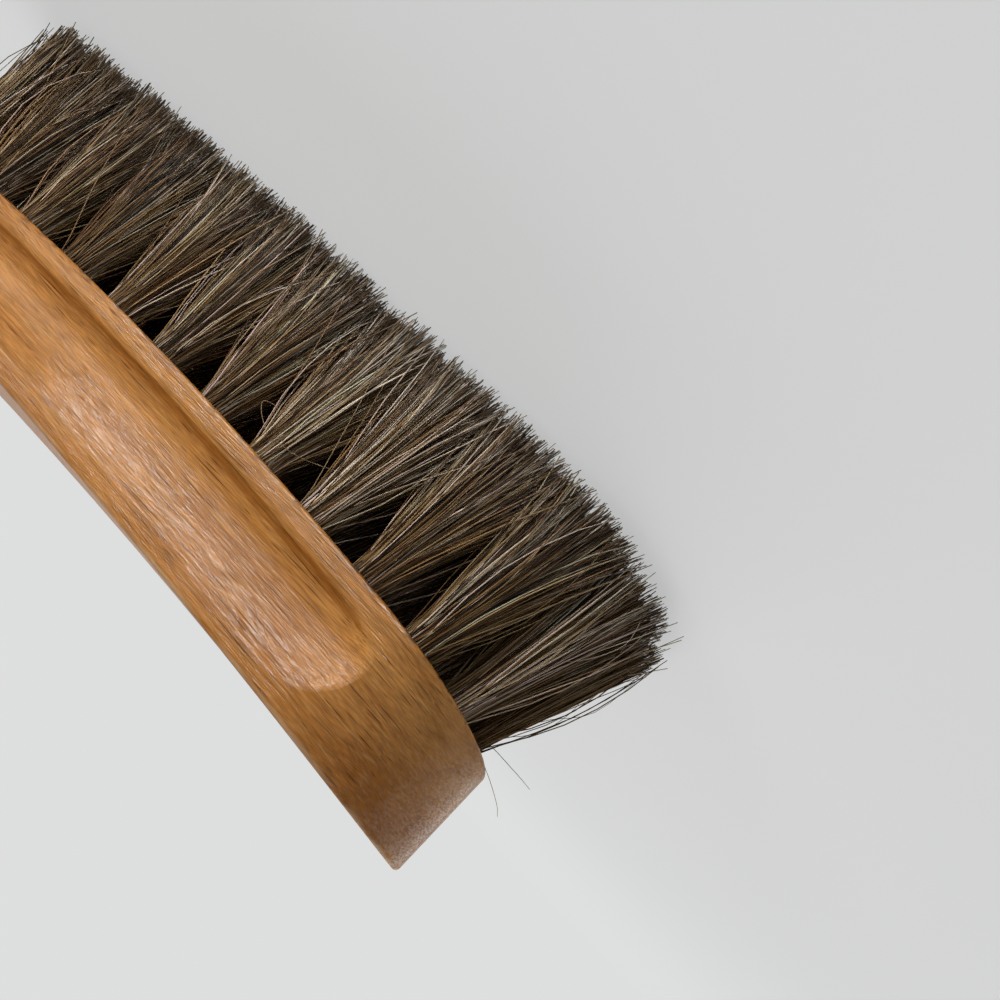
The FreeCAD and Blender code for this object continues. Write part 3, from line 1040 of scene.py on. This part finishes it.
    def tones(self, lock: np.ndarray, share: np.ndarray, random: np.random.Generator) -> np.ndarray:
        """Picks each hair's colour: locks lean to one tone, tips are greyer, and roots are darker with
        painted shade.

        Args:
            lock: the lock that each hair belongs to.
            share: each step's share of the hair's length.
            random: the tuft's own seeded numbers.

        Returns:
            Colours as [strand, step, channel].
        """
        mix = self.mix
        count = len(lock)
        palette = np.array([tone.colour for tone in HairTone])
        shares = np.array([tone.share for tone in HairTone])
        lean = random.dirichlet(shares * mix.evenness, self.habit.locks)
        mixed = mix.common_share * shares[None] + mix.lock_share * lean
        edges = np.cumsum(mixed / mixed.sum(1, keepdims=True), 1)
        pick = (random.random(count)[:, None] > edges[lock]).sum(1).clip(0, len(palette) - 1)
        colour = palette[pick] * np.exp(random.normal(0, mix.depth_spread, (count, 1)))
        colour = colour * (1 + random.normal(0, mix.hue_spread, (count, 3)))
        grey = colour.mean(1, keepdims=True) * np.array(mix.tip_grey)
        tip = np.clip((share - mix.tip_start) / (1 - mix.tip_start), 0, 1)
        tip = mix.tip_share * tip[None, :, None]
        shown = colour[:, None] * (1 - tip) + grey[:, None] * tip
        # painted shade at the roots, next to the block's face
        root = np.clip(1 - share / mix.root_end, 0, 1)[None, :, None]
        return np.clip(shown * (1 - mix.painted_root_shade * root), *mix.limits)


@dataclass(frozen=True)
class StrayHair:
    """One hair that leaves its tuft: its tone, and the points that it passes, in millimetres."""

    tone: HairTone
    through: tuple[Point, ...]


DARK_END_HAIR = StrayHair(
    HairTone.DARK,
    ((-73.5, 0.0, 35.0), (-76.0, -0.5, 32.2), (-82.0, 1.0, 31.7), (-86.0, 2.0, 31.7)),
)
PALE_END_HAIR = StrayHair(
    HairTone.STRAW,
    (
        (-70.5, 9.5, 34.5),
        (-75.0, 7.5, 32.5),
        (-79.5, 8.0, 33.7),
        (-84.0, 10.2, 35.6),
        (-85.5, 11.2, 36.8),
    ),
)
HIGH_LOOSE_HAIR = StrayHair(
    HairTone.BROWN,
    ((-71.0, 7.5, 34.5), (-75.3, 6.6, 30.6), (-80.8, 5.4, 24.6), (-82.7, 3.3, 18.8), (-82.5, 1.0, 14.0)),
)
LOW_LOOSE_HAIR = StrayHair(
    HairTone.BROWN,
    (
        (-73.0, 2.0, 34.5),
        (-78.6, 0.0, 26.6),
        (-81.2, -1.1, 22.6),
        (-85.3, -2.4, 17.1),
        (-87.0, -6.3, 7.6),
    ),
)
CURLED_HAIR = StrayHair(
    HairTone.STRAW,
    (
        (-24.0, -21.8, 28.5),
        (-21.3, -22.8, 27.2),
        (-20.2, -23.7, 25.9),
        (-22.0, -23.6, 25.1),
        (-24.5, -22.8, 25.2),
    ),
)
GAP_HAIR = StrayHair(
    HairTone.STRAW,
    ((-26.5, -21.8, 28.2), (-30.1, -21.4, 27.3), (-34.4, -21.2, 25.2), (-37.0, -21.4, 23.5)),
)
CROSSING_HAIR = StrayHair(
    HairTone.CREAM,
    ((-42.0, -25.8, 5.8), (-43.7, -24.6, 7.0), (-45.9, -23.4, 8.6), (-48.5, -22.0, 10.5)),
)
HOOKED_HAIR = StrayHair(
    HairTone.CREAM,
    (
        (-73.0, -12.2, 23.0),
        (-75.8, -13.0, 19.7),
        (-79.1, -13.8, 16.0),
        (-81.6, -15.4, 11.0),
        (-81.0, -17.1, 7.4),
    ),
)
FIRST_SLANTED_HAIR = StrayHair(
    HairTone.CREAM,
    ((-41.0, -20.8, 26.5), (-44.0, -22.9, 20.4), (-49.3, -25.8, 10.8), (-51.0, -26.6, 6.5)),
)
SECOND_SLANTED_HAIR = StrayHair(
    HairTone.CREAM,
    ((-46.7, -19.3, 26.6), (-48.1, -21.8, 20.3), (-50.3, -26.1, 9.5), (-51.0, -28.2, 4.4)),
)


@dataclass
class StrayHairs:
    """The hairs that stand out of the tufts or curl across the gaps between them."""

    radius: float = 0.060 * MM
    steps: int = 17
    taper_at: tuple[float, ...] = (0, 0.6, 1)
    taper: tuple[float, ...] = (1.0, 0.95, 0.6)
    hairs: tuple[StrayHair, ...] = (
        DARK_END_HAIR,
        PALE_END_HAIR,
        HIGH_LOOSE_HAIR,
        LOW_LOOSE_HAIR,
        CURLED_HAIR,
        GAP_HAIR,
        CROSSING_HAIR,
        HOOKED_HAIR,
        FIRST_SLANTED_HAIR,
        SECOND_SLANTED_HAIR,
    )

    def build(self, finish: Horsehair) -> bpy.types.Object:
        """Draws the hairs as one piece.

        Args:
            finish: the hair's finish.

        Returns:
            The piece.
        """
        points = np.stack([self.smooth(np.array(hair.through) * MM) for hair in self.hairs])
        colours = np.array([hair.tone.colour for hair in self.hairs])
        colours = colours[:, None] * np.ones((1, self.steps, 1))
        taper = np.interp(np.linspace(0, 1, self.steps), self.taper_at, self.taper)
        radii = self.radius * np.ones((len(self.hairs), 1)) * taper[None]
        mesh = Strands(points, radii, colours).mesh("stray_hairs", finish.attribute)
        return add_piece("stray_hairs", mesh, bpy.data.materials[finish.name])

    def smooth(self, through: np.ndarray) -> np.ndarray:
        """A smooth line through points, each stretch a cubic that leans on the points beside it.

        Args:
            through: the points in order.

        Returns:
            Evenly spread points of the line.
        """
        padded = np.concatenate([through[:1], through, through[-1:]])
        at = np.linspace(0, len(through) - 1, self.steps)
        stretch = np.minimum(at.astype(int), len(through) - 2)
        past = (at - stretch)[:, None]
        before, start, end, after = (padded[stretch + step] for step in range(4))
        bend = 2 * before - 5 * start + 4 * end - after
        twist = 3 * (start - end) + after - before
        return start + 0.5 * ((end - before) * past + bend * past**2 + twist * past**3)


@dataclass
class Block:
    """The one-piece beech block, which keeps its solid's shape."""

    node: str = "block"
    finish: VarnishedBeech = field(default_factory=VarnishedBeech)

    def dress(self) -> None:
        """Gives the block its finish."""
        dress_node(self.node, self.finish.make())


@dataclass
class Staples:
    """The wire staples in the folds of the tufts."""

    nodes: tuple[str, ...] = ("staples_outer", "staples_inner")
    finish: StapleWire = field(default_factory=StapleWire)

    def dress(self) -> None:
        """Gives the staples their finish."""
        material = self.finish.make()
        for node in self.nodes:
            dress_node(node, material)


def dress_node(node: str, material: Material) -> None:
    """Gives a solid from the frame a finish.

    Args:
        node: the solid's name.
        material: the finish.
    """
    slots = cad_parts[node].material_slots
    for slot in slots:
        slot.material = material
    if not slots:
        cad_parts[node].data.materials.append(material)
    LOG.info("%s dressed", node)


@dataclass(frozen=True)
class Lamp:
    """One soft lamp: its place, the point it faces, its level and other side, its watts and its use."""

    name: str
    place: Point
    aim: Point
    size: tuple[float, float]
    power: float
    use: LampUse = LampUse.BOTH

    def hang(self) -> None:
        """Adds the lamp to the scene, where the camera doesn't see it."""
        light = bpy.data.lights.new(self.name, "AREA")
        light.shape = "RECTANGLE"
        light.size, light.size_y = self.size
        light.energy = self.power
        holder = bpy.data.objects.new(self.name, light)
        holder.location = self.place
        facing = Vector(self.aim) - Vector(self.place)
        holder.rotation_euler = facing.to_track_quat("-Z", "Y").to_euler()
        holder.visible_camera = False
        holder.visible_diffuse = self.use is not LampUse.GLOSS
        holder.visible_glossy = self.use is not LampUse.MATT
        bpy.context.scene.collection.objects.link(holder)


@dataclass
class Studio:
    """The pale ground, the soft lamps and the camera."""

    ground_reach: float = 3.0
    ground: PaleGround = field(default_factory=PaleGround)
    room_light: Span = (0.17, 1.0)
    lamps: tuple[Lamp, ...] = (
        Lamp("key", (0.46, -0.42, 0.06), (0.0, 0.0, 0.025), (0.30, 0.30), 3.85, LampUse.MATT),
        Lamp("over", (-0.05, -0.10, 0.75), (0.0, 0.0, 0.0), (0.6, 0.6), 0.95),
        Lamp("far_side", (-0.10, 0.50, 0.45), (0.0, 0.0, 0.02), (0.5, 0.5), 2.5, LampUse.MATT),
        Lamp("bounce", (0.09, -0.13, 0.002), (0.09, -0.13, 1.0), (0.30, 0.12), 0.24, LampUse.MATT),
        Lamp(
            "near_strip",
            (-0.01, -0.052, 0.003),
            (-0.01, -0.03, 0.043),
            (0.12, 0.014),
            0.13,
            LampUse.GLOSS,
        ),
        Lamp("far_strip", (0.11, -0.19, 0.003), (0.11, -0.19, 1.0), (0.24, 0.08), 1.25, LampUse.GLOSS),
        Lamp(
            "end_panel",
            (-0.26, 0.105, 0.045),
            (-0.078, -0.01, 0.045),
            (0.33, 0.086),
            0.075,
            LampUse.GLOSS,
        ),
        Lamp("end_fill", (-0.55, 0.50, 0.40), (-0.08, 0.0, 0.02), (0.40, 0.40), 1.15, LampUse.MATT),
    )
    camera_place: Point = (-81.01 * MM, -114.44 * MM, 53.02 * MM)
    camera_right: Point = (-0.70687, -0.11878, -0.69730)
    camera_down: Point = (-0.66167, 0.45956, 0.59246)
    camera_ahead: Point = (0.25007, 0.88017, -0.40344)
    lens: float = 25.92
    sensor: float = 36.0
    clip_start: float = 5.0 * MM

    def build(self) -> None:
        """Sets up the ground, the light, the camera and the view."""
        self.lay_ground()
        self.light()
        self.place_camera()
        bpy.context.scene.view_settings.view_transform = "Standard"
        LOG.info("studio set up")

    def lay_ground(self) -> None:
        """Lays the ground that the brush stands on."""
        bpy.ops.object.select_all(action="DESELECT")
        bpy.ops.mesh.primitive_plane_add(size=2 * self.ground_reach, location=(0, 0, 0))
        floor = bpy.context.object
        floor.name = "ground"
        floor.data.materials.append(self.ground.make())

    def light(self) -> None:
        """Sets the even light of the room and the lamps."""
        world = bpy.data.worlds.new("room")
        bpy.context.scene.world = world
        world.use_nodes = True
        bench = NodeBench(world.node_tree)
        strength = bench.span(self.ground.seen(bench), FULL, self.room_light)
        air = bench.add("Background", Color=(*self.ground.tone, 1.0), Strength=strength)
        bench.add("OutputWorld", Surface=air.outputs[0])
        for lamp in self.lamps:
            lamp.hang()

    def place_camera(self) -> None:
        """Sets the camera at the photograph's viewing angle."""
        camera = bpy.data.cameras.new("view")
        camera.lens = self.lens
        camera.sensor_width = self.sensor
        camera.clip_start = self.clip_start
        holder = bpy.data.objects.new("view", camera)
        right = Vector(self.camera_right)
        up = -Vector(self.camera_down)
        back = -Vector(self.camera_ahead)
        turn = Matrix((right, up, back)).transposed().to_4x4()
        holder.matrix_world = Matrix.Translation(self.camera_place) @ turn
        bpy.context.scene.collection.objects.link(holder)
        bpy.context.scene.camera = holder


def main() -> None:
    """Builds the brush and its studio in order."""
    Studio().build()
    Block().dress()
    Staples().dress()
    hair = Hair()
    pieces = [*hair.build(), StrayHairs().build(hair.finish)]
    for piece in pieces:
        LOG.info("%s: %d faces", piece.name, len(piece.data.polygons))


if __name__ == "__main__":
    main()
